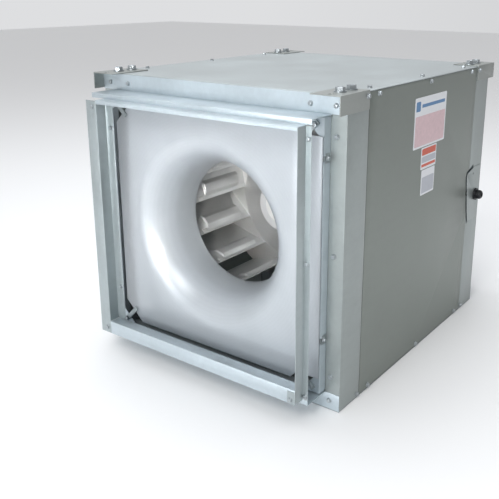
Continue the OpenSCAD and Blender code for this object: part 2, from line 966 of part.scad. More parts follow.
module blade_rivets() {
    color(zinc) {
        at_back_rivets() {
            cylinder(r = 4, h = 1.8);
            translate([0, 0, -4]) cylinder(r = 2.4, h = 4);
            translate([0, 0, -5.8]) cylinder(r = 3.6, h = 1.8);
        }
        at_front_rivets() {
            translate([0, 0, -2.6]) cylinder(r = 4, h = 1.8);
            translate([0, 0, -1]) cylinder(r = 2.4, h = 4);
        }
    }
}

module wheel_hub() {
    disc_y = cap_y - back_t - hub_disc_t;
    color("#C9C5BE") about_axis() difference() {
        union() {
            translate([0, 0, disc_y]) cylinder(r = hub_disc_r, h = hub_disc_t);
            translate([0, 0, disc_y]) cylinder(r = hub_r, h = hub_back - disc_y);
        }
        translate([0, 0, disc_y - 1]) cylinder(r = shaft_r, h = hub_back - disc_y + 2);
        set_screw_bores();
    }
}

set_screw_y = hub_back - 20;

module set_screw_bores() {
    for (a = [0, 90])
        translate([0, 0, set_screw_y]) rotate([0, 0, a + 45]) rotate([0, 90, 0])
            translate([0, 0, shaft_r]) cylinder(r = 3, h = hub_r);
}

module hub_set_screws() {
    color("#33363A") about_axis() for (a = [0, 90])
        translate([0, 0, set_screw_y]) rotate([0, 0, a + 45]) rotate([0, 90, 0])
            translate([0, 0, shaft_r]) difference() {
                cylinder(r = 3, h = 10);
                translate([0, 0, 6]) cylinder(r = 1.7, h = 5, $fn = 6);
            }
}

// ---------- access panels ----------

// The right panel: a face between the posts with a return along each upright edge.
module access_panel() {
    low = sheet + seam;
    high = cab_h - sheet - seam;
    color(galvanised_side) difference() {
        union() {
            box(half_w - sheet, half_w, -panel_half_l, panel_half_l, low, high);
            for (y = [-panel_half_l, panel_half_l - sheet])
                box(half_w - sheet - panel_return, half_w - sheet, y, y + sheet, 30, cab_h - 30);
        }
        at_panel_screws() sheet_screw_hole();
    }
}

module right_access_panel() {
    difference() {
        access_panel();
        wiring_recess();
    }
}

module left_access_panel() {
    mirror([1, 0, 0]) access_panel();
}

module right_panel_screws() {
    color(zinc) at_panel_screws() sheet_screw();
}

module left_panel_screws() {
    color(zinc) mirror([1, 0, 0]) at_panel_screws() sheet_screw();
}

// Blank label plates: one large and two small, one under the other.
module label_plates() {
    color(label_white) {
        box(half_w, half_w + label_t, -half_l + 264, -half_l + 416, 468, 573);
        box(half_w, half_w + label_t, -half_l + 305, -half_l + 379, 419, 466);
        box(half_w, half_w + label_t, -half_l + 311, -half_l + 376, 362, 417);
    }
}

bottom_panel();
top_panel();
post_front_right();
post_front_left();
post_rear_right();
post_rear_left();
rail_front_top();
rail_front_bottom();
rail_rear_top();
rail_rear_bottom();
side_rails();
bracket_front_right();
bracket_front_left();
bracket_rear_right();
bracket_rear_left();
bracket_bolts();
bracket_washers();
frame_screws();
inlet_frame();
inlet_venturi();
venturi_clips();
venturi_bolts();
inlet_collar_top();
inlet_collar_bottom();
inlet_collar_left();
inlet_collar_right();
outlet_frame();
outlet_collar_top();
outlet_collar_bottom();
outlet_collar_left();
outlet_collar_right();
collar_screws();
wiring_plate();
cord_grip_body();
cord_grip_nut();
cord_grip_seal();
floor_channels();
isolators();
motor_pedestal();
motor_base();
motor_casing();
motor_stator();
motor_front_bell();
motor_rear_bell();
bearing_outer_rings();
motor_bolts();
wheel_backplate();
wheel_shroud();
wheel_blades();
blade_rivets();
wheel_hub();
hub_set_screws();
motor_shaft();
motor_rotor();
bearing_inner_rings();
right_access_panel();
right_panel_screws();
label_plates();
left_access_panel();
left_panel_screws();
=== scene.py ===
"""Looks of a square in-line duct fan with a spun inlet bell and a backward-inclined wheel."""

from __future__ import annotations

import logging
import math
import random
from collections.abc import Sequence
from dataclasses import dataclass, field
from enum import Enum

import bmesh
import bpy
from mathutils import Matrix, Vector


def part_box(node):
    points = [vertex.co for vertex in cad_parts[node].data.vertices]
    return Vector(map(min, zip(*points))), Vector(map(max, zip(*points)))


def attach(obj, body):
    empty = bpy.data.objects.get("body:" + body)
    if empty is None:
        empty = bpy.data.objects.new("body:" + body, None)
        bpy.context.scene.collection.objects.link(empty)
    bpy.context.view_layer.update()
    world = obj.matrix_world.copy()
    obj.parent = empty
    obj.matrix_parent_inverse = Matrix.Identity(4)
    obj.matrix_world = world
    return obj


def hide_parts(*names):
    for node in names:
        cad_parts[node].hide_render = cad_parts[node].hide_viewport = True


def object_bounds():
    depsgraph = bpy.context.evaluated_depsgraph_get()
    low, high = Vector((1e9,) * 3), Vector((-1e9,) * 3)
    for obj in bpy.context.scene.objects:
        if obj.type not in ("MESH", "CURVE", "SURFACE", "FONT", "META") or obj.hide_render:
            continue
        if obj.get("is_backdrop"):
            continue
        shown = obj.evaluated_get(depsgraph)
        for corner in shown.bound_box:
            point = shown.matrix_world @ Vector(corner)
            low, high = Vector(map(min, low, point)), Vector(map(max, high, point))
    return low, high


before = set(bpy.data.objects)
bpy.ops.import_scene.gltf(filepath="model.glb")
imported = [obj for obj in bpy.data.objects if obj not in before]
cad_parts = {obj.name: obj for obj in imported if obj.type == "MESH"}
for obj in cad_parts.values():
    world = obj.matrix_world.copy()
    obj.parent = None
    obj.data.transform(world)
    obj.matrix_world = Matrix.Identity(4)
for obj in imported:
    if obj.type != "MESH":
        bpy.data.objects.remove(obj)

LOG = logging.getLogger("duct_fan")
MM = 0.001
FLAT = math.radians(0.5)
CREASE = math.radians(30)
SHORTEST_FOLD = 3 * MM
# The cabinet's front face and the height of the fan's axis, in metres.
FRONT_Y = -0.330
AXIS_Z = 0.305


# ---------------------------------------------------------------- colour and node helpers


def linear(hex_colour: str) -> tuple[float, float, float, float]:
    """Turns an sRGB hex colour into Blender's linear values.

    Args:
        hex_colour: Six hex digits after a hash, such as "#C8D0D8".

    Returns:
        Linear red, green and blue, with an alpha of one.
    """
    digits = hex_colour.lstrip("#")
    channels = [int(digits[i : i + 2], 16) / 255 for i in (0, 2, 4)]
    red, green, blue = (c / 12.92 if c <= 0.04045 else ((c + 0.055) / 1.055) ** 2.4 for c in channels)
    return red, green, blue, 1.0


def add(
    tree: bpy.types.NodeTree,
    kind: str,
    settings: dict[str, object] | None = None,
    inputs: dict[str | int, object] | None = None,
) -> bpy.types.Node:
    """Adds a shader node with its settings, values and links.

    Args:
        tree: The node tree to add to.
        kind: The node's type name.
        settings: Attributes to set on the node.
        inputs: Socket name or number to a value, or to an output socket to link from.

    Returns:
        The new node.
    """
    node = tree.nodes.new(kind)
    for name, value in (settings or {}).items():
        setattr(node, name, value)
    for name, value in (inputs or {}).items():
        socket = node.inputs[name]
        if isinstance(value, bpy.types.NodeSocket):
            tree.links.new(value, socket)
        else:
            socket.default_value = value
    return node


# ---------------------------------------------------------------- mesh helpers


def merged(name: str) -> bmesh.types.BMesh:
    """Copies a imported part's mesh, with its corners joined and its flat areas made whole.

    Args:
        name: The part's name.

    Returns:
        The copy.
    """
    mesh = bmesh.new()
    mesh.from_mesh(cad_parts[name].data)
    bmesh.ops.remove_doubles(mesh, verts=mesh.verts, dist=0.01 * MM)
    bmesh.ops.dissolve_limit(
        mesh, angle_limit=FLAT, use_dissolve_boundaries=False, verts=mesh.verts, edges=mesh.edges
    )
    return mesh


def round_edges(
    mesh: bmesh.types.BMesh, edges: Sequence[bmesh.types.BMEdge], width: float, steps: int
) -> None:
    """Rounds edges off.

    Args:
        mesh: The mesh.
        edges: Its edges to round.
        width: How far the rounding reaches from each edge, in metres.
        steps: Faces across the rounding.
    """
    bmesh.ops.bevel(
        mesh,
        geom=list(edges),
        offset=width,
        offset_type="OFFSET",
        segments=steps,
        profile=0.5,
        affect="EDGES",
        clamp_overlap=False,
        material=-1,
    )


def block(low: Sequence[float], high: Sequence[float], rounding: float = 0.0) -> bmesh.types.BMesh:
    """Makes a box between two corners, with its edges rounded.

    Args:
        low: The lowest corner.
        high: The highest corner.
        rounding: How far its edges are rounded back, in metres.

    Returns:
        The box.
    """
    mesh = bmesh.new()
    size = Vector(high) - Vector(low)
    middle = (Vector(high) + Vector(low)) / 2
    bmesh.ops.create_cube(mesh, size=1.0, matrix=Matrix.Translation(middle) @ Matrix.Diagonal((*size, 1.0)))
    if rounding:
        round_edges(mesh, mesh.edges, rounding, 2)
    return mesh


def join(target: bmesh.types.BMesh, part: bmesh.types.BMesh, matrix: Matrix) -> None:
    """Adds a placed copy of one mesh to another.

    Args:
        target: The mesh that grows.
        part: The mesh to copy.
        matrix: Where the copy goes.
    """
    template = bpy.data.meshes.new("template")
    part.to_mesh(template)
    template.transform(matrix)
    target.from_mesh(template)
    bpy.data.meshes.remove(template)


# ---------------------------------------------------------------- finishes


@dataclass(frozen=True)
class Finish:
    """What every finish shares: a name, a record slot and its base values."""

    name: str
    slot: str
    colour: str
    roughness: float
    metallic: float

    def start(self) -> tuple[bpy.types.Material, bpy.types.NodeTree, bpy.types.Node, bpy.types.NodeSocket]:
        """Makes an empty material with its shader and its object coordinates.

        Returns:
            The material, its tree, its principled shader and the coordinate socket.
        """
        material = bpy.data.materials.new(self.name)
        material.use_nodes = True
        tree = material.node_tree
        tree.nodes.clear()
        shader = add(
            tree,
            "ShaderNodeBsdfPrincipled",
            inputs={
                "Base Color": linear(self.colour),
                "Roughness": self.roughness,
                "Metallic": self.metallic,
            },
        )
        add(tree, "ShaderNodeOutputMaterial", inputs={"Surface": shader.outputs["BSDF"]})
        place = add(tree, "ShaderNodeTexCoord").outputs["Object"]
        return material, tree, shader, place

    def vary(
        self,
        tree: bpy.types.NodeTree,
        shader: bpy.types.Node,
        pattern: bpy.types.NodeSocket,
        span: tuple[float, float],
        shade: tuple[float, float],
        gloss: tuple[float, float] = (0.0, 0.0),
    ) -> None:
        """Lets one pattern shift the depth of the colour and the gloss together.

        Args:
            tree: The material's node tree.
            shader: Its principled shader.
            pattern: The pattern's value socket.
            span: The pattern's values that reach the two ends below.
            shade: What the colour is multiplied by at each end.
            gloss: What is added to the roughness at each end.
        """
        ends = {"Value": pattern, "From Min": span[0], "From Max": span[1]}
        depth = add(tree, "ShaderNodeMapRange", inputs={**ends, "To Min": shade[0], "To Max": shade[1]})
        tint = add(
            tree,
            "ShaderNodeMix",
            {"data_type": "RGBA", "blend_type": "MULTIPLY"},
            {"Factor": 1.0, 6: linear(self.colour), 7: depth.outputs["Result"]},
        )
        tree.links.new(tint.outputs[2], shader.inputs["Base Color"])
        low, high = (self.roughness + change for change in gloss)
        rough = add(tree, "ShaderNodeMapRange", inputs={**ends, "To Min": low, "To Max": high})
        tree.links.new(rough.outputs["Result"], shader.inputs["Roughness"])

    def build(self) -> bpy.types.Material:
        """Makes the plain form of the finish.

        Returns:
            The material.
        """
        return self.start()[0]


@dataclass(frozen=True)
class GalvanisedSheet(Finish):
    """Hot-dip galvanised steel sheet: satin, with zinc crystals and long rolling streaks."""

    crystal_mm: float = 9.0
    streak_mm: float = 14.0
    grain: float = 1.0
    run: tuple[float, float, float] = (1.0, 0.08, 1.0)

    def build(self) -> bpy.types.Material:
        """Makes the sheet's material.

        Returns:
            The material.
        """
        material, tree, shader, place = self.start()
        # Zinc freezes in flat crystals about a centimetre across, each a shade lighter or darker.
        crystals = add(
            tree, "ShaderNodeTexVoronoi", inputs={"Vector": place, "Scale": 1 / (self.crystal_mm * MM)}
        ).outputs["Color"]
        crystal_grey = add(tree, "ShaderNodeRGBToBW", inputs={"Color": crystals}).outputs["Val"]
        # Rolling leaves streaks that are many times longer than they are wide.
        along = add(tree, "ShaderNodeMapping", inputs={"Vector": place, "Scale": self.run}).outputs["Vector"]
        streaks = add(
            tree,
            "ShaderNodeTexNoise",
            inputs={"Vector": along, "Scale": 1 / (self.streak_mm * MM), "Detail": 4.0, "Roughness": 0.6},
        ).outputs["Fac"]
        # Handling and storage leave soft clouds about a hand wide.
        clouds = add(
            tree,
            "ShaderNodeTexNoise",
            inputs={"Vector": place, "Scale": 7.0, "Detail": 3.0, "Roughness": 0.55},
        ).outputs["Fac"]
        wear = clouds
        for pattern, share in ((crystal_grey, 0.16), (streaks, 0.35)):
            wear = add(
                tree,
                "ShaderNodeMath",
                {"operation": "MULTIPLY_ADD"},
                {0: pattern, 1: share * self.grain, 2: wear},
            ).outputs[0]
        self.vary(tree, shader, wear, (0.45, 1.05), (0.88, 1.09), (-0.07, 0.09))
        # The sheet is never quite flat: it ripples by some hundredths of a millimetre over a hand's width.
        ripple = add(
            tree, "ShaderNodeTexNoise", inputs={"Vector": place, "Scale": 9.0, "Detail": 1.0}
        ).outputs["Fac"]
        relief = add(
            tree, "ShaderNodeMath", {"operation": "MULTIPLY_ADD"}, {0: crystal_grey, 1: 0.02, 2: ripple}
        ).outputs[0]
        bump = add(tree, "ShaderNodeBump", inputs={"Height": relief, "Strength": 0.25, "Distance": 0.8 * MM})
        tree.links.new(bump.outputs["Normal"], shader.inputs["Normal"])
        return material


@dataclass(frozen=True)
class SpunCoatedSteel(Finish):
    """Spun steel sheet with a smooth satin coat: pale, with faint rings left by the spinning roller."""

    ring_mm: float = 7.0
    axis_height: float = 0.305

    def build(self) -> bpy.types.Material:
        """Makes the bell's material.

        Returns:
            The material.
        """
        material, tree, shader, place = self.start()
        shader.inputs["Coat Weight"].default_value = 0.15
        shader.inputs["Coat Roughness"].default_value = 0.22
        # The rings run round the fan's axis, so the pattern is laid down flat on that axis first.
        centred = add(
            tree,
            "ShaderNodeMapping",
            {"vector_type": "POINT"},
            {"Vector": place, "Location": (0.0, self.axis_height, 0.0), "Rotation": (math.pi / 2, 0.0, 0.0)},
        )
        # Roller marks are about a millimetre apart; they are drawn wider so that they show at all.
        rings = add(
            tree,
            "ShaderNodeTexWave",
            {"wave_type": "RINGS", "rings_direction": "Z"},
            {
                "Vector": centred.outputs["Vector"],
                "Scale": 0.314 / (self.ring_mm * MM),
                "Distortion": 1.2,
                "Detail": 2.0,
                "Detail Scale": 1.5,
            },
        ).outputs["Fac"]
        clouds = add(
            tree,
            "ShaderNodeTexNoise",
            inputs={"Vector": place, "Scale": 11.0, "Detail": 4.0, "Roughness": 0.6},
        ).outputs["Fac"]
        mixed = add(
            tree, "ShaderNodeMath", {"operation": "MULTIPLY_ADD"}, {0: rings, 1: 0.12, 2: clouds}
        ).outputs[0]
        self.vary(tree, shader, mixed, (0.3, 0.85), (0.94, 1.05), (-0.04, 0.08))
        bump = add(tree, "ShaderNodeBump", inputs={"Height": mixed, "Strength": 0.08, "Distance": 0.3 * MM})
        tree.links.new(bump.outputs["Normal"], shader.inputs["Normal"])
        return material


@dataclass(frozen=True)
class WorkedMetal(Finish):
    """Bare or plated metal with fine working marks and dull patches."""

    mark_mm: float = 3.0
    stretch: tuple[float, float, float] = (1.0, 0.12, 1.0)
    contrast: float = 0.12
    relief_mm: float = 0.05

    def build(self) -> bpy.types.Material:
        """Makes the metal's material.

        Returns:
            The material.
        """
        material, tree, shader, place = self.start()
        along = add(
            tree, "ShaderNodeMapping", inputs={"Vector": place, "Scale": self.stretch}
        ).outputs["Vector"]
        marks = add(
            tree,
            "ShaderNodeTexNoise",
            inputs={"Vector": along, "Scale": 1 / (self.mark_mm * MM), "Detail": 3.0, "Roughness": 0.65},
        ).outputs["Fac"]
        patches = add(
            tree,
            "ShaderNodeTexNoise",
            inputs={"Vector": place, "Scale": 28.0, "Detail": 3.0, "Roughness": 0.6},
        ).outputs["Fac"]
        mixed = add(
            tree, "ShaderNodeMath", {"operation": "MULTIPLY_ADD"}, {0: marks, 1: 0.5, 2: patches}
        ).outputs[0]
        self.vary(
            tree, shader, mixed, (0.5, 1.0), (1.0 - self.contrast, 1.0 + self.contrast / 2), (-0.08, 0.1)
        )
        bump = add(
            tree, "ShaderNodeBump", inputs={"Height": marks, "Strength": 0.3, "Distance": self.relief_mm * MM}
        )
        tree.links.new(bump.outputs["Normal"], shader.inputs["Normal"])
        return material


@dataclass(frozen=True)
class MouldedPlastic(Finish):
    """Injection-moulded nylon or rubber: dark, with a fine spark-eroded texture."""

    texture_mm: float = 0.8

    def build(self) -> bpy.types.Material:
        """Makes the plastic's material.

        Returns:
            The material.
        """
        material, tree, shader, place = self.start()
        texture = add(
            tree,
            "ShaderNodeTexNoise",
            inputs={"Vector": place, "Scale": 1 / (self.texture_mm * MM), "Detail": 2.0},
        ).outputs["Fac"]
        self.vary(tree, shader, texture, (0.3, 0.7), (0.9, 1.1), (-0.05, 0.1))
        bump = add(tree, "ShaderNodeBump", inputs={"Height": texture, "Strength": 0.2, "Distance": 0.1 * MM})
        tree.links.new(bump.outputs["Normal"], shader.inputs["Normal"])
        return material


@dataclass(frozen=True)
class PrintedFilm(Finish):
    """Self-adhesive film with a plain printed colour, slightly mottled, under a satin varnish."""

    mottle: float = 0.04

    def build(self) -> bpy.types.Material:
        """Makes the film's material.

        Returns:
            The material.
        """
        material, tree, shader, place = self.start()
        shader.inputs["Coat Weight"].default_value = 0.2
        shader.inputs["Coat Roughness"].default_value = 0.3
        mottle = add(
            tree,
            "ShaderNodeTexNoise",
            inputs={"Vector": place, "Scale": 120.0, "Detail": 4.0, "Roughness": 0.7},
        ).outputs["Fac"]
        self.vary(tree, shader, mottle, (0.3, 0.7), (1 - self.mottle, 1.0), (-0.03, 0.05))
        return material


class Surface(Enum):
    """Every finish on the fan."""

    TOP_SHEET = GalvanisedSheet("galvanised_steel_top_sheet", "galvanised", "#B0B7B8", 0.42, 0.6)
    INNER_SHEET = GalvanisedSheet("galvanised_steel_inner_sheet", "galvanised", "#9AA1A3", 0.45, 0.6)
    BRACKET = GalvanisedSheet("galvanised_steel_bracket", "galvanised", "#A2A6A3", 0.37, 0.9, 7.0)
    # The rails, frames and collar flanges take a lighter, bluer copy of the galvanised steel: painted light
    # for the front faces that face the lamps.
    FRONT_RAIL_LIT = GalvanisedSheet("galvanised_steel_rail_painted_light", "galvanised_front", "#B9C4CA", 0.37, 0.6)
    # The side sheets, posts, collar webs and clips take darker, greener copies of the same steel: painted
    # shade for the faces turned away from the light.
    SIDE_SHEET_SHADED = GalvanisedSheet("galvanised_steel_side_sheet_painted_shade", "galvanised_side", "#858B86", 0.4, 0.65)
    POST_SHADED = GalvanisedSheet("galvanised_steel_post_painted_shade", "galvanised_side", "#9CA3A2", 0.37, 0.55)
    WEB_SHADED = GalvanisedSheet("galvanised_steel_web_painted_shade", "galvanised_side", "#A3ACAE", 0.37, 0.65)
    BELL = SpunCoatedSteel("spun_coated_steel_bell", "bell_grey", "#AAB0B5", 0.33, 0.3)
    WHEEL = WorkedMetal(
        "mill_aluminium_wheel", "wheel_aluminium", "#D5D6D6", 0.37, 0.75, 6.0, (1.0, 0.15, 1.0), 0.06, 0.01
    )
    HUB = WorkedMetal("turned_aluminium_hub", "wheel_aluminium", "#E6E6E4", 0.37, 0.8, 1.2)
    ZINC = WorkedMetal(
        "bright_zinc_plate", "zinc_hardware", "#B0B6B9", 0.36, 1.0, 1.0, (1.0, 1.0, 1.0), 0.1, 0.02
    )
    STEEL = WorkedMetal("ground_steel", "steel", "#A8ADB0", 0.37, 1.0, 1.5)
    WINDING = WorkedMetal("varnished_copper_winding", "copper_varnish", "#8C5A34", 0.37, 0.6, 1.2)
    ENAMEL = WorkedMetal("motor_enamel", "motor_paint", "#4C5358", 0.38, 0.1, 2.0, (1.0, 1.0, 1.0), 0.06)
    NYLON = MouldedPlastic("moulded_black_nylon", "black_plastic", "#15161A", 0.42, 0.0)
    RUBBER = MouldedPlastic("moulded_rubber", "rubber_black", "#1B1B1B", 0.62, 0.0, 1.5)
    FILM_WHITE = PrintedFilm("white_label_film", "label_white", "#E6E8EC", 0.38, 0.0)
    FILM_PINK = PrintedFilm("pale_pink_print", "label_white", "#DDBFC4", 0.4, 0.0, 0.14)
    FILM_ORANGE = PrintedFilm("orange_print", "label_white", "#D0502F", 0.4, 0.0, 0.08)
    FILM_BLUE = PrintedFilm("blue_print", "label_white", "#4B7FAE", 0.4, 0.0, 0.06)
    FILM_GREY = PrintedFilm("grey_print", "label_white", "#B9BDC6", 0.4, 0.0, 0.1)


@dataclass
class Workshop:
    """Keeps the materials that have been made, and dresses and places pieces."""

    made: dict[Surface, bpy.types.Material] = field(default_factory=dict)

    def material(self, surface: Surface) -> bpy.types.Material:
        """Gives a finish's material, made once.

        Args:
            surface: The finish.

        Returns:
            Its material.
        """
        if surface not in self.made:
            self.made[surface] = surface.value.build()
        return self.made[surface]

    def dress(self, names: Sequence[str], surface: Surface) -> None:
        """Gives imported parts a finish.

        Args:
            names: The parts' names.
            surface: The finish.
        """
        material = self.material(surface)
        for name in names:
            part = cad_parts[name]
            if not part.material_slots:
                part.data.materials.append(material)
            for slot in part.material_slots:
                slot.material = material
            LOG.info("%s: %s", name, material.name)

    def soften(self, names: Sequence[str], surface: Surface, body: str, edge_mm: float = 0.4) -> None:
        """Stands copies with rounded folds and edges in place of packed sheet parts.

        Args:
            names: The parts' names.
            surface: Their finish.
            body: The body they move with.
            edge_mm: How far each long edge is rounded back.
        """
        for name in names:
            mesh = merged(name)
            long_edges = [
                edge
                for edge in mesh.edges
                if len(edge.link_faces) == 2
                and edge.calc_face_angle(0.0) > CREASE
                and edge.calc_length() > SHORTEST_FOLD
            ]
            round_edges(mesh, long_edges, edge_mm * MM, 2)
            self.piece(f"{name}_sheet", mesh, surface, body, [name])

    def piece(
        self,
        name: str,
        mesh: bmesh.types.BMesh,
        surface: Surface,
        body: str,
        replaces: Sequence[str] = (),
        smooth: bool = True,
    ) -> bpy.types.Object:
        """Makes an object of a finished bmesh, dresses it and lets it ride on a body.

        Args:
            name: The piece's name.
            mesh: Its geometry, in place, in metres.
            surface: Its finish.
            body: The body it moves with.
            replaces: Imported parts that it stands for.
            smooth: Whether faces are shaded smooth up to a sharp angle.

        Returns:
            The object.
        """
        bmesh.ops.remove_doubles(mesh, verts=mesh.verts, dist=0.001 * MM)
        bmesh.ops.recalc_face_normals(mesh, faces=mesh.faces)
        data = bpy.data.meshes.new(name)
        mesh.to_mesh(data)
        mesh.free()
        thing = bpy.data.objects.new(name, data)
        bpy.context.scene.collection.objects.link(thing)
        data.materials.append(self.material(surface))
        if smooth:
            data.shade_smooth()
            data.set_sharp_from_angle(angle=math.radians(32))
        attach(thing, body)
        if replaces:
            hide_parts(*replaces)
        LOG.info("%s: %d faces on %s", name, len(data.polygons), body)
        return thing


# ---------------------------------------------------------------- studio


@dataclass
class Studio:
    """A plain pale floor, soft lights and the camera."""

    eye: tuple[float, float, float] = (0.9260, -1.3930, 0.7830)
    turn_deg: float = 36.1
    tilt_deg: float = 16.6
    roll_deg: float = 0.05
    lens_mm: float = 52.34068
    sensor_mm: float = 36.0
    shift: tuple[float, float] = (-0.05, -0.09)

    def camera(self) -> None:
        """Puts the camera in place."""
        data = bpy.data.cameras.new("view")
        data.sensor_width = self.sensor_mm
        data.lens = self.lens_mm
        data.shift_x, data.shift_y = self.shift
        data.clip_start = 0.01
        data.clip_end = 60.0
        camera = bpy.data.objects.new("view", data)
        turn, tilt = math.radians(self.turn_deg), math.radians(self.tilt_deg)
        ahead = Vector((-math.sin(turn) * math.cos(tilt), math.cos(turn) * math.cos(tilt), -math.sin(tilt)))
        roll = Matrix.Rotation(math.radians(self.roll_deg), 3, "Z")
        pose = ahead.to_track_quat("-Z", "Y").to_matrix() @ roll
        camera.matrix_world = Matrix.Translation(self.eye) @ pose.to_4x4()
        bpy.context.scene.collection.objects.link(camera)
        bpy.context.scene.camera = camera

    def lamp(
        self,
        name: str,
        place: Vector,
        aim: Vector,
        size: float,
        power: float,
        colour: str,
        spread_deg: float = 180.0,
    ) -> None:
        """Adds a soft square lamp.

        Args:
            name: Its name.
            place: Where it hangs.
            aim: The point it shines at.
            size: Its side in metres.
            power: Its power in watts.
            colour: Its sRGB colour.
            spread_deg: How wide its light fans out.
        """
        data = bpy.data.lights.new(name, "AREA")
        data.spread = math.radians(spread_deg)
        data.shape = "SQUARE"
        data.size = size
        data.energy = power
        data.color = linear(colour)[:3]
        lamp = bpy.data.objects.new(name, data)
        facing = (aim - place).to_track_quat("-Z", "Y").to_matrix().to_4x4()
        lamp.matrix_world = Matrix.Translation(place) @ facing
        bpy.context.scene.collection.objects.link(lamp)

    def floor(self) -> None:
        """Lays a plain pale floor under the fan."""
        mesh = bmesh.new()
        bmesh.ops.create_grid(mesh, x_segments=1, y_segments=1, size=12.0)
        low = min(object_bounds()[0][2], 0.0)
        bmesh.ops.translate(mesh, verts=mesh.verts, vec=(0.0, 0.0, low - 0.0005))
        data = bpy.data.meshes.new("floor")
        mesh.to_mesh(data)
        mesh.free()
        floor = bpy.data.objects.new("floor", data)
        bpy.context.scene.collection.objects.link(floor)
        material = bpy.data.materials.new("pale_floor")
        material.use_nodes = True
        shader = material.node_tree.nodes["Principled BSDF"]
        shader.inputs["Base Color"].default_value = linear("#FAFAFA")
        shader.inputs["Roughness"].default_value = 0.9
        data.materials.append(material)
        floor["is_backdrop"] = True

    def surround(self) -> None:
        """Makes an even pale surround that falls off towards the right, as in a studio lit from the left."""
        world = bpy.data.worlds.new("pale_surround")
        world.use_nodes = True
        tree = world.node_tree
        backdrop = tree.nodes["Background"]
        backdrop.inputs["Color"].default_value = linear("#FCFDFF")
        heading = add(tree, "ShaderNodeTexCoord").outputs["Generated"]
        sideways = add(tree, "ShaderNodeSeparateXYZ", inputs={"Vector": heading}).outputs["X"]
        strength = add(
            tree,
            "ShaderNodeMapRange",
            inputs={"Value": sideways, "From Min": -0.6, "From Max": 1.0, "To Min": 0.75, "To Max": 0.37},
        ).outputs["Result"]
        tree.links.new(strength, backdrop.inputs["Strength"])
        bpy.context.scene.world = world

    def build(self) -> None:
        """Builds the whole studio."""
        self.camera()
        self.floor()
        self.surround()
        aim = Vector((0.0, -0.1, 0.3))
        eye = Vector((-0.14, -0.14, AXIS_Z))
        self.lamp("key", Vector((0.7, -2.7, 2.7)), aim, 1.3, 40.0, "#FFFFFF")
        self.lamp("overhead", Vector((-0.4, 0.3, 3.0)), aim, 2.4, 43.0, "#F6FAFF")
        self.lamp("front_low", Vector((0.1, -3.4, 0.3)), aim, 1.6, 14.5, "#FAFCFF", 70.0)
        self.lamp("eye_fill", Vector((0.9, -2.0, 0.75)), eye, 0.3, 0.38, "#FFFBF4", 14.0)
        bpy.context.scene.view_settings.view_transform = "Standard"


# ---------------------------------------------------------------- sub-assemblies


@dataclass
class Cabinet:
    """The galvanised cabinet: sheets, posts, rails, brackets, frames and collars."""

    shop: Workshop
    ends: tuple[str, str] = ("front", "rear")
    sides: tuple[str, str] = ("right", "left")
    duct_ends: tuple[str, str] = ("inlet", "outlet")

    def build(self) -> None:
        """Builds the cabinet's sheets and dresses what lies behind them."""
        soften = self.shop.soften
        soften(["top_panel"], Surface.TOP_SHEET, "cabinet")
        soften(["bottom_panel"], Surface.INNER_SHEET, "cabinet")
        soften([f"bracket_{e}_{s}" for e in self.ends for s in self.sides], Surface.BRACKET, "cabinet", 0.6)
        # Rails, frames and collar flanges get the lighter copy of the steel, with painted light for their lit
        # front faces.
        soften([f"rail_{e}_{p}" for e in self.ends for p in ("top", "bottom")], Surface.FRONT_RAIL_LIT, "cabinet")
        soften([f"post_{e}_{s}" for e in self.ends for s in self.sides], Surface.POST_SHADED, "cabinet", 0.6)
        soften([f"{e}_frame" for e in self.duct_ends], Surface.FRONT_RAIL_LIT, "cabinet")
        level = [f"{e}_collar_{p}" for e in self.duct_ends for p in ("top", "bottom")]
        soften(level, Surface.FRONT_RAIL_LIT, "cabinet")
        # The collar webs get the darker copy of the steel: painted shade on the faces turned away from the
        # light.
        soften([f"{e}_collar_{s}" for e in self.duct_ends for s in self.sides], Surface.WEB_SHADED, "cabinet")
        soften(["wiring_plate"], Surface.POST_SHADED, "cabinet", 0.3)
        # The access panels get the darkest copy of the steel: painted shade for the cabinet's side that faces
        # away from the lamps.
        soften(["right_access_panel"], Surface.SIDE_SHEET_SHADED, "right_panel")
        soften(["left_access_panel"], Surface.SIDE_SHEET_SHADED, "left_panel")
        self.shop.dress(["side_rails", "floor_channels", "motor_pedestal"], Surface.INNER_SHEET)


@dataclass(frozen=True)
class Seat:
    """Where a fastener sits: the point under its head, and the way its head faces."""

    place: Vector
    out: Vector


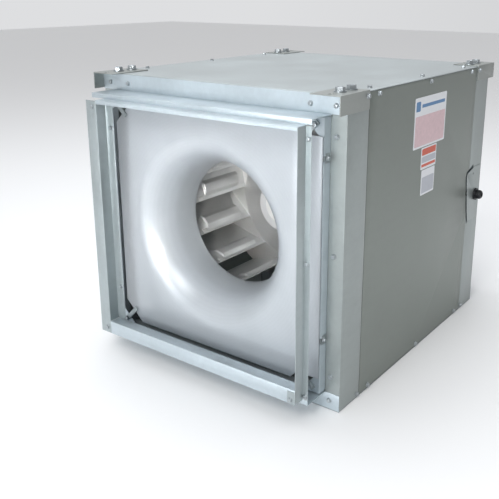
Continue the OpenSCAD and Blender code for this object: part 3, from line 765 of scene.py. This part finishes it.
@dataclass
class FastenerSet:
    """Hex fasteners with a chamfered, dished head, which stand in place of plain packed ones."""

    shop: Workshop
    node: str
    body: str
    corner_mm: float
    height_mm: float
    shank_mm: float
    shank_length_mm: float
    flange_mm: float = 0.0
    flange_height_mm: float = 1.0
    seed: int = 7

    def head(self) -> bmesh.types.BMesh:
        """Makes one fastener, seated on the XY plane with its head upwards.

        Returns:
            Its mesh.
        """
        mesh = bmesh.new()
        radius, height = self.corner_mm * MM, self.height_mm * MM
        bmesh.ops.create_cone(
            mesh,
            cap_ends=True,
            segments=6,
            radius1=radius,
            radius2=radius,
            depth=height,
            matrix=Matrix.Translation((0.0, 0.0, height / 2)),
        )
        rim = [edge for edge in mesh.edges if all(vert.co.z > height * 0.99 for vert in edge.verts)]
        round_edges(mesh, rim, radius * 0.16, 2)
        crown = max(mesh.faces, key=lambda face: face.calc_center_median().z)
        bmesh.ops.inset_region(mesh, faces=[crown], thickness=radius * 0.22)
        bmesh.ops.inset_region(mesh, faces=[crown], thickness=radius * 0.12)
        bmesh.ops.translate(mesh, verts=crown.verts, vec=(0.0, 0.0, -radius * 0.12))
        if self.flange_mm:
            flange, thick = self.flange_mm * MM, self.flange_height_mm * MM
            bmesh.ops.create_cone(
                mesh,
                cap_ends=True,
                segments=24,
                radius1=flange,
                radius2=flange * 0.88,
                depth=thick,
                matrix=Matrix.Translation((0.0, 0.0, thick / 2)),
            )
        shank, length = self.shank_mm * MM, self.shank_length_mm * MM
        bmesh.ops.create_cone(
            mesh,
            cap_ends=True,
            segments=12,
            radius1=shank * 0.7,
            radius2=shank,
            depth=length,
            matrix=Matrix.Translation((0.0, 0.0, -length / 2)),
        )
        return mesh

    def seats(self) -> list[Seat]:
        """Finds each packed fastener's place and the way it faces.

        Returns:
            The seats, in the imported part's own order.
        """
        mesh = merged(self.node)
        mesh.verts.ensure_lookup_table()
        seen: set[int] = set()
        found = []
        for start in mesh.verts:
            if start.index in seen:
                continue
            seen.add(start.index)
            group = [start]
            for vert in group:
                for edge in vert.link_edges:
                    other = edge.other_vert(vert)
                    if other.index not in seen:
                        seen.add(other.index)
                        group.append(other)
            found.append(self.seat([vert.co.copy() for vert in group]))
        mesh.free()
        return found

    def seat(self, points: Sequence[Vector]) -> Seat:
        """Works out one fastener's seat from its points.

        Args:
            points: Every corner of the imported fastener.

        Returns:
            Its seat.
        """
        low = Vector(tuple(min(p[i] for p in points) for i in range(3)))
        high = Vector(tuple(max(p[i] for p in points) for i in range(3)))
        size, middle = high - low, (high + low) / 2
        usual = sorted(size)[1]
        # The head is as wide one way as the other, so the odd extent is the fastener's length.
        way = max(range(3), key=lambda i: abs(size[i] - usual))
        across = [i for i in range(3) if i != way]
        # Points well outside the shank belong to the head.
        beyond = self.shank_mm * MM * 1.15
        wide = [p for p in points if math.hypot(*(p[i] - middle[i] for i in across)) > beyond]
        sign = 1.0 if sum(p[way] for p in wide) / len(wide) > middle[way] else -1.0
        out = Vector(tuple(sign if i == way else 0.0 for i in range(3)))
        place = middle.copy()
        place[way] = min(p[way] * sign for p in wide) * sign
        return Seat(place, out)

    def build(self) -> None:
        """Builds every fastener of the set, each turned by chance as it was driven."""
        chance = random.Random(self.seed)
        mesh, head = bmesh.new(), self.head()
        for seat in self.seats():
            turn = Matrix.Rotation(chance.uniform(0.0, math.tau), 4, "Z")
            facing = seat.out.to_track_quat("Z", "Y").to_matrix().to_4x4()
            join(mesh, head, Matrix.Translation(seat.place) @ facing @ turn)
        head.free()
        self.shop.piece(f"{self.node}_hex", mesh, Surface.ZINC, self.body, [self.node])


@dataclass
class Hardware:
    """Screws, bolts, washers, straps, rivets and the clips on the inlet frame's side."""

    shop: Workshop
    clip_heights: tuple[float, float] = (0.149, 0.499)
    clip_x: float = 0.2712
    clip_y: float = -0.3470
    clip_edge_mm: float = 0.3
    # Each fold of a clip as its lowest and highest corner, from the clip's own place.
    clip_folds: tuple[tuple[tuple[float, float, float], tuple[float, float, float]], ...] = (
        ((0.0, 0.0, -0.009), (0.0015, 0.017, 0.009)),
        ((-0.010, -0.0045, -0.005), (0.0015, -0.003, 0.005)),
        ((0.0, -0.0045, -0.005), (0.0015, 0.002, 0.005)),
    )
    clip_screw: tuple[float, float, float] = (0.0015, 0.008, 0.0)

    def frame_clips(self) -> None:
        """Builds the small folded clips, each with its screw, on the right side of the inlet frame."""
        mesh = bmesh.new()
        screw = FastenerSet(self.shop, "frame_screws", "cabinet", 4.2, 4.2, 2.4, 5.0, flange_mm=5.2).head()
        sideways = Matrix.Rotation(math.pi / 2, 4, "Y")
        for height in self.clip_heights:
            at = Vector((self.clip_x, self.clip_y, height))
            for low, high in self.clip_folds:
                fold = block(at + Vector(low), at + Vector(high), self.clip_edge_mm * MM)
                join(mesh, fold, Matrix.Identity(4))
                fold.free()
            join(mesh, screw, Matrix.Translation(at + Vector(self.clip_screw)) @ sideways)
        screw.free()
        self.shop.piece("inlet_frame_clips", mesh, Surface.ZINC, "cabinet")

    def build(self) -> None:
        """Builds the fasteners and dresses the washers, straps and rivets."""
        for node, body in (
            ("frame_screws", "cabinet"),
            ("collar_screws", "cabinet"),
            ("right_panel_screws", "right_panel"),
            ("left_panel_screws", "left_panel"),
        ):
            FastenerSet(self.shop, node, body, 4.2, 4.2, 2.4, 7.0, flange_mm=5.2).build()
        FastenerSet(self.shop, "bracket_bolts", "cabinet", 9.0, 7.0, 4.0, 13.0).build()
        FastenerSet(self.shop, "venturi_bolts", "cabinet", 6.0, 4.5, 3.0, 5.0).build()
        self.shop.dress(["bracket_washers", "motor_bolts", "blade_rivets"], Surface.ZINC)
        self.shop.soften(["venturi_clips"], Surface.WEB_SHADED, "cabinet", 0.5)
        self.frame_clips()


@dataclass
class Inlet:
    """The inlet plate with its spun bell, and the strip that closes the gap on its right side."""

    shop: Workshop
    strip_overlap: float = 0.0065
    strip_width: float = 0.0260
    strip_half_length: float = 0.234
    strip_gap: float = 0.0001
    strip_thickness: float = 0.0014
    strip_edge_mm: float = 0.4

    def closing_strip(self) -> None:
        """Builds the flat strip that runs from the plate's right edge over the frame."""
        low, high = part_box("inlet_venturi")
        left, back = high[0] - self.strip_overlap, low[1] - self.strip_gap
        mesh = block(
            (left, back - self.strip_thickness, AXIS_Z - self.strip_half_length),
            (left + self.strip_width, back, AXIS_Z + self.strip_half_length),
            self.strip_edge_mm * MM,
        )
        self.shop.piece("inlet_closing_strip", mesh, Surface.BELL, "cabinet")

    def build(self) -> None:
        """Builds the bell with its plate's turned-back edge rounded, and the strip beside it."""
        self.shop.soften(["inlet_venturi"], Surface.BELL, "cabinet", 0.7)
        self.closing_strip()


@dataclass
class Wheel:
    """The backward-inclined wheel on its hub."""

    shop: Workshop
    blade_count: int = 12
    first_deg: float = -25.0
    sweep_deg: float = 30.0
    inner_r: float = 0.145
    outer_r: float = 0.208
    rib_top: float = 0.006
    rib_rounding: float = 0.0022
    tab_low: tuple[float, float, float] = (0.001, 0.0, 0.115)
    tab_high: tuple[float, float, float] = (0.011, 0.0016, 0.130)

    def blade_places(self) -> list[Matrix]:
        """Gives each blade's own frame: x along its chord, y towards the axis, z along the air flow.

        Returns:
            One matrix for each blade, from its own frame to the fan's.
        """
        on_axis = Matrix.Translation((0.0, FRONT_Y, AXIS_Z)) @ Matrix.Rotation(-math.pi / 2, 4, "X")
        sweep = math.radians(self.sweep_deg)
        lean = math.atan2(self.outer_r * math.sin(sweep), self.outer_r * math.cos(sweep) - self.inner_r)
        edge = Matrix.Translation((self.inner_r, 0.0, 0.0)) @ Matrix.Rotation(lean, 4, "Z")
        step = 360.0 / self.blade_count
        return [
            on_axis @ Matrix.Rotation(math.radians(self.first_deg + step * k), 4, "Z") @ edge
            for k in range(self.blade_count)
        ]

    def blades(self) -> None:
        """Builds the blades with the pressed ribs' corners rounded as a press leaves them."""
        mesh = merged("wheel_blades")
        to_blade = [place.inverted() for place in self.blade_places()]
        on_rib = {
            vert
            for vert in mesh.verts
            if any(
                abs((own @ vert.co).y - self.rib_top) < 0.1 * MM and 0.0 < (own @ vert.co).x < 0.05
                for own in to_blade
            )
        }
        ribs = [edge for edge in mesh.edges if on_rib.intersection(edge.verts)]
        round_edges(mesh, ribs, self.rib_rounding, 3)
        self.shop.piece("wheel_blades_pressed", mesh, Surface.WHEEL, "wheel", ["wheel_blades"])

    def tabs(self) -> None:
        """Builds the small bright tabs that tie each blade's front inner corner to the shroud."""
        mesh = bmesh.new()
        tab = block(self.tab_low, self.tab_high, 0.4 * MM)
        for place in self.blade_places():
            join(mesh, tab, place)
        tab.free()
        self.shop.piece("blade_front_tabs", mesh, Surface.HUB, "wheel")

    def build(self) -> None:
        """Builds the blades and their tabs, and dresses the rest of the wheel."""
        self.blades()
        self.tabs()
        self.shop.dress(["wheel_backplate", "wheel_shroud"], Surface.WHEEL)
        self.shop.dress(["wheel_hub"], Surface.HUB)


@dataclass
class Motor:
    """The motor, its base and its rubber feet."""

    shop: Workshop

    def build(self) -> None:
        """Dresses the motor."""
        self.shop.dress(["motor_casing", "motor_front_bell", "motor_rear_bell", "motor_base"], Surface.ENAMEL)
        self.shop.dress(["motor_stator"], Surface.WINDING)
        self.shop.dress(
            ["motor_shaft", "motor_rotor", "bearing_outer_rings", "bearing_inner_rings", "hub_set_screws"],
            Surface.STEEL,
        )
        self.shop.dress(["isolators", "cord_grip_seal"], Surface.RUBBER)


@dataclass
class WiringEntry:
    """The cord grip, with a ribbed dome nut."""

    shop: Workshop
    ribs: int = 18
    body_r: float = 0.0100
    rib_h: float = 0.0009
    skirt: float = 0.0095
    dome_steps: tuple[tuple[float, float], ...] = ((0.0006, 0.0018), (0.0012, 0.0014), (0.0018, 0.0008))
    mouth_r: float = 0.0050
    mouth_depth: float = 0.0060

    def dome_nut(self) -> None:
        """Builds the nut: a ribbed skirt, a dome in steps and the cord's mouth."""
        low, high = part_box("cord_grip_nut")
        mesh = bmesh.new()
        bmesh.ops.create_cone(
            mesh,
            cap_ends=True,
            segments=2 * self.ribs,
            radius1=self.body_r,
            radius2=self.body_r,
            depth=self.skirt,
            matrix=Matrix.Translation((0.0, 0.0, self.skirt / 2)),
        )
        crown = max(mesh.faces, key=lambda face: face.calc_center_median().z)
        skirt = [face for face in mesh.faces if abs(face.normal.z) < 0.1]
        skirt.sort(key=lambda face: math.atan2(face.calc_center_median().y, face.calc_center_median().x))
        for face in bmesh.ops.extrude_discrete_faces(mesh, faces=skirt[::2])["faces"]:
            bmesh.ops.translate(mesh, verts=face.verts, vec=face.normal * self.rib_h)
        radius = self.body_r
        for inward, upward in self.dome_steps:
            bmesh.ops.inset_region(mesh, faces=[crown], thickness=inward)
            bmesh.ops.translate(mesh, verts=crown.verts, vec=(0.0, 0.0, upward))
            radius -= inward
        bmesh.ops.inset_region(mesh, faces=[crown], thickness=radius - self.mouth_r)
        bmesh.ops.inset_region(mesh, faces=[crown], thickness=0.1 * MM)
        bmesh.ops.translate(mesh, verts=crown.verts, vec=(0.0, 0.0, -self.mouth_depth))
        middle = (Vector(low) + Vector(high)) / 2
        place = Matrix.Translation((low[0], middle.y, middle.z)) @ Matrix.Rotation(math.pi / 2, 4, "Y")
        bmesh.ops.transform(mesh, matrix=place, verts=mesh.verts)
        self.shop.piece("cord_grip_dome_nut", mesh, Surface.NYLON, "cabinet", ["cord_grip_nut"])

    def build(self) -> None:
        """Builds the nut and dresses the grip's body."""
        self.dome_nut()
        self.shop.dress(["cord_grip_body"], Surface.NYLON)


@dataclass(frozen=True)
class Zone:
    """A plain printed area on a label: its name, its finish and its corners along Y and Z."""

    name: str
    surface: Surface
    areas: tuple[tuple[float, float, float, float], ...]


@dataclass
class Labels:
    """Blank label cards on the right panel, with plain areas of colour and no lettering."""

    shop: Workshop
    face_x: float = 0.305
    card_t: float = 0.0004
    print_t: float = 0.00006
    corner_r: float = 0.0025
    # Distances behind the cabinet's front face, then heights: start, end, low, high.
    cards: tuple[tuple[float, float, float, float], ...] = (
        (0.264, 0.416, 0.468, 0.573),
        (0.305, 0.379, 0.419, 0.466),
        (0.311, 0.376, 0.362, 0.417),
    )
    zones: tuple[Zone, ...] = (
        Zone("label_pink_area", Surface.FILM_PINK, ((0.268, 0.412, 0.472, 0.535),)),
        Zone(
            "label_blue_area",
            Surface.FILM_BLUE,
            ((0.269, 0.289, 0.545, 0.565), (0.296, 0.408, 0.551, 0.558)),
        ),
        Zone(
            "label_orange_bands",
            Surface.FILM_ORANGE,
            ((0.308, 0.376, 0.449, 0.463), (0.308, 0.376, 0.424, 0.430)),
        ),
        Zone(
            "label_grey_area",
            Surface.FILM_GREY,
            ((0.314, 0.373, 0.366, 0.401), (0.308, 0.376, 0.433, 0.446)),
        ),
    )

    def sheet(
        self, name: str, surface: Surface, areas: Sequence[tuple[float, ...]], x: float, thick: float
    ) -> None:
        """Builds flat areas that lie on the panel.

        Args:
            name: The piece's name.
            surface: Its finish.
            areas: Each area's start and end behind the front face, and its low and high edges.
            x: Where its back lies.
            thick: Its thickness.
        """
        mesh = bmesh.new()
        for start, end, low, high in areas:
            area = block((x, FRONT_Y + start, low), (x + thick, FRONT_Y + end, high))
            posts = [edge for edge in area.edges if abs(edge.verts[0].co.x - edge.verts[1].co.x) > thick / 2]
            round_edges(area, posts, min(self.corner_r, (high - low) / 5), 4)
            join(mesh, area, Matrix.Identity(4))
            area.free()
        replaces = ["label_plates"] if name == "label_cards" else []
        self.shop.piece(name, mesh, surface, "right_panel", replaces)

    def build(self) -> None:
        """Builds the cards and the printed areas on them."""
        self.sheet("label_cards", Surface.FILM_WHITE, self.cards, self.face_x, self.card_t)
        for zone in self.zones:
            self.sheet(zone.name, zone.surface, zone.areas, self.face_x + self.card_t, self.print_t)


def main() -> None:
    """Builds the fan's looks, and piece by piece."""
    logging.basicConfig(level=logging.INFO, format="%(name)s: %(message)s")
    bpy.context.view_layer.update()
    Studio().build()
    shop = Workshop()
    for assembly in (Cabinet, Hardware, Inlet, Wheel, Motor, WiringEntry, Labels):
        assembly(shop).build()


if __name__ == "__main__":
    main()
